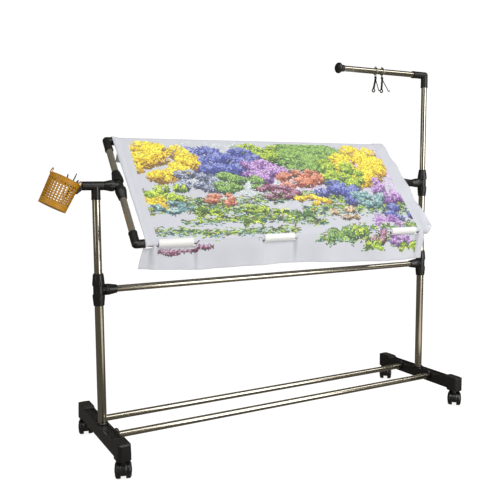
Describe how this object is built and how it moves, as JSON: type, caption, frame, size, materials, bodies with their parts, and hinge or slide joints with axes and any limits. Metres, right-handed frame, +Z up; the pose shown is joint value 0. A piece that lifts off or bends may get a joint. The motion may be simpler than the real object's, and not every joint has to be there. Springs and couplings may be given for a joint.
{
  "type": "embroidery floor stand",
  "caption": "Rolling floor stand for embroidery: telescoping uprights on wheeled feet, a tilting tube frame with clipped cloth, a basket and a swivelling accessory arm",
  "frame": {"origin": "on the floor, midway between the two uprights", "axes": "X right along the bars, Y to the rear, Z up"},
  "size_m": [1.3883, 0.4319, 1.1665],
  "materials": {
    "black_plastic": "moulded black plastic with a fine grain",
    "stainless_tube": "polished stainless tube",
    "bright_steel": "plated steel",
    "white_plastic": "smooth white plastic",
    "cloth": "even-weave cotton with a stitched pattern",
    "basket_plastic": "orange brown moulded plastic",
    "tool_plastic": "dark smooth handles",
    "wheel_plastic": "smooth black plastic"
  },
  "bodies": {
    "base": {"foot_left": "black_plastic", "foot_right": "black_plastic", "lower_tube_left": "stainless_tube", "lower_tube_right": "stainless_tube", "low_bar_front": "stainless_tube", "low_bar_rear": "stainless_tube", "mid_bar": "stainless_tube", "mid_tee_left": "black_plastic", "mid_tee_right": "black_plastic", "mid_tee_nuts": "black_plastic", "height_collets": "black_plastic", "caster_sockets": "bright_steel", "upright_fixings": "bright_steel", "low_bar_screws": "bright_steel"},
    "upper_uprights": {"upper_tube_left": "stainless_tube", "upper_tube_right": "stainless_tube", "top_tee_left": "black_plastic", "top_tee_right": "black_plastic", "top_tee_nuts": "black_plastic", "slide_guides": "white_plastic"},
    "tilting_frame": {"arm_left": "stainless_tube", "arm_right": "stainless_tube", "arm_tee_left": "black_plastic", "arm_tee_right": "black_plastic", "arm_tee_nuts": "black_plastic", "top_elbows": "black_plastic", "bottom_elbows": "black_plastic", "top_bar": "stainless_tube", "bottom_bar": "stainless_tube", "pivot_stubs": "stainless_tube", "cloth_panel": "cloth", "cloth_clips": "white_plastic"},
    "front_flap": {"cloth_front_flap": "cloth"},
    "back_flap": {"cloth_back_flap": "cloth"},
    "post": {"post_tube": "stainless_tube"},
    "accessory_arm": {"post_elbow": "black_plastic", "accessory_bar": "stainless_tube", "end_knob": "black_plastic"},
    "clip_ring_a": {"clip_ring_a": "bright_steel"},
    "clip_a": {"clip_body_a": "bright_steel"},
    "clip_a_jaw": {"clip_jaw_a": "bright_steel"},
    "clip_ring_b": {"clip_ring_b": "bright_steel"},
    "clip_b": {"clip_body_b": "bright_steel"},
    "clip_b_jaw": {"clip_jaw_b": "bright_steel"},
    "basket": {"basket": "basket_plastic", "basket_bracket": "black_plastic", "basket_tools": "tool_plastic"},
    "caster_fl": {"caster_hood_fl": "black_plastic", "caster_pins_fl": "bright_steel"},
    "wheels_fl": {"caster_wheels_fl": "wheel_plastic"},
    "caster_fr": {"caster_hood_fr": "black_plastic", "caster_pins_fr": "bright_steel"},
    "wheels_fr": {"caster_wheels_fr": "wheel_plastic"},
    "caster_rl": {"caster_hood_rl": "black_plastic", "caster_pins_rl": "bright_steel"},
    "wheels_rl": {"caster_wheels_rl": "wheel_plastic"},
    "caster_rr": {"caster_hood_rr": "black_plastic", "caster_pins_rr": "bright_steel"},
    "wheels_rr": {"caster_wheels_rr": "wheel_plastic"}
  },
  "joints": [
    {"name": "caster_fl_swivel", "type": "hinge", "parent": "base", "child": "caster_fl", "pos_m": [-0.595, -0.182, 0.05], "axis": [0, 0, 1], "continuous": true},
    {"name": "wheels_fl_spin", "type": "hinge", "parent": "caster_fl", "child": "wheels_fl", "pos_m": [-0.59006, -0.16678, 0.023], "axis": [-0.9511, 0.309, 0], "continuous": true},
    {"name": "caster_fr_swivel", "type": "hinge", "parent": "base", "child": "caster_fr", "pos_m": [0.595, -0.182, 0.05], "axis": [0, 0, 1], "continuous": true},
    {"name": "wheels_fr_spin", "type": "hinge", "parent": "caster_fr", "child": "wheels_fr", "pos_m": [0.60651, -0.17089, 0.023], "axis": [-0.6947, 0.7193, 0], "continuous": true},
    {"name": "caster_rl_swivel", "type": "hinge", "parent": "base", "child": "caster_rl", "pos_m": [-0.595, 0.182, 0.05], "axis": [0, 0, 1], "continuous": true},
    {"name": "wheels_rl_spin", "type": "hinge", "parent": "caster_rl", "child": "wheels_rl", "pos_m": [-0.59086, 0.19745, 0.023], "axis": [-0.9659, 0.2588, 0], "continuous": true},
    {"name": "caster_rr_swivel", "type": "hinge", "parent": "base", "child": "caster_rr", "pos_m": [0.595, 0.182, 0.05], "axis": [0, 0, 1], "continuous": true},
    {"name": "wheels_rr_spin", "type": "hinge", "parent": "caster_rr", "child": "wheels_rr", "pos_m": [0.60528, 0.19426, 0.023], "axis": [-0.766, 0.6428, 0], "continuous": true},
    {"name": "height_slide", "type": "slide", "parent": "base", "child": "upper_uprights", "axis": [0, 0, 1], "range_m": [-0.05, 0.15]},
    {"name": "frame_tilt", "type": "hinge", "parent": "upper_uprights", "child": "tilting_frame", "pos_m": [0, 0, 0.772], "axis": [1, 0, 0], "range_deg": [-50, 25]},
    {"name": "front_flap_hang", "type": "hinge", "parent": "tilting_frame", "child": "front_flap", "pos_m": [0, -0.1292, 0.61803], "axis": [1, 0, 0], "range_deg": [-25, 50]},
    {"name": "back_flap_hang", "type": "hinge", "parent": "tilting_frame", "child": "back_flap", "pos_m": [0, 0.10799, 0.9007], "axis": [1, 0, 0], "range_deg": [-25, 50]},
    {"name": "post_slide", "type": "slide", "parent": "upper_uprights", "child": "post", "axis": [0, 0, 1], "range_m": [-0.1, 0.035]},
    {"name": "accessory_swivel", "type": "hinge", "parent": "post", "child": "accessory_arm", "pos_m": [0.595, 0, 1.149], "axis": [0, 0, 1], "continuous": true},
    {"name": "clip_a_slide", "type": "slide", "parent": "accessory_arm", "child": "clip_ring_a", "axis": [1, 0, 0], "range_m": [-0.11, 0.001]},
    {"name": "clip_a_swing", "type": "hinge", "parent": "clip_ring_a", "child": "clip_a", "pos_m": [0.376, 0, 1.1346], "axis": [1, 0, 0], "range_deg": [-35, 35]},
    {"name": "clip_a_jaw_turn", "type": "hinge", "parent": "clip_a", "child": "clip_a_jaw", "pos_m": [0.376, 0, 1.1282], "axis": [0, -1, 0], "range_deg": [-5, 25]},
    {"name": "clip_b_slide", "type": "slide", "parent": "accessory_arm", "child": "clip_ring_b", "axis": [1, 0, 0], "range_m": [-0.001, 0.1]},
    {"name": "clip_b_swing", "type": "hinge", "parent": "clip_ring_b", "child": "clip_b", "pos_m": [0.404, 0, 1.1346], "axis": [1, 0, 0], "range_deg": [-35, 35]},
    {"name": "clip_b_jaw_turn", "type": "hinge", "parent": "clip_b", "child": "clip_b_jaw", "pos_m": [0.404, 0, 1.1282], "axis": [0, -1, 0], "range_deg": [-5, 25]},
    {"name": "basket_swivel", "type": "hinge", "parent": "upper_uprights", "child": "basket", "pos_m": [-0.631, 0, 0.772], "axis": [1, 0, 0], "range_deg": [-45, 45]}
  ],
  "couplings": [
    {"joint": "front_flap_hang", "follows": "frame_tilt", "ratio": -1},
    {"joint": "back_flap_hang", "follows": "frame_tilt", "ratio": -1}
  ]
}
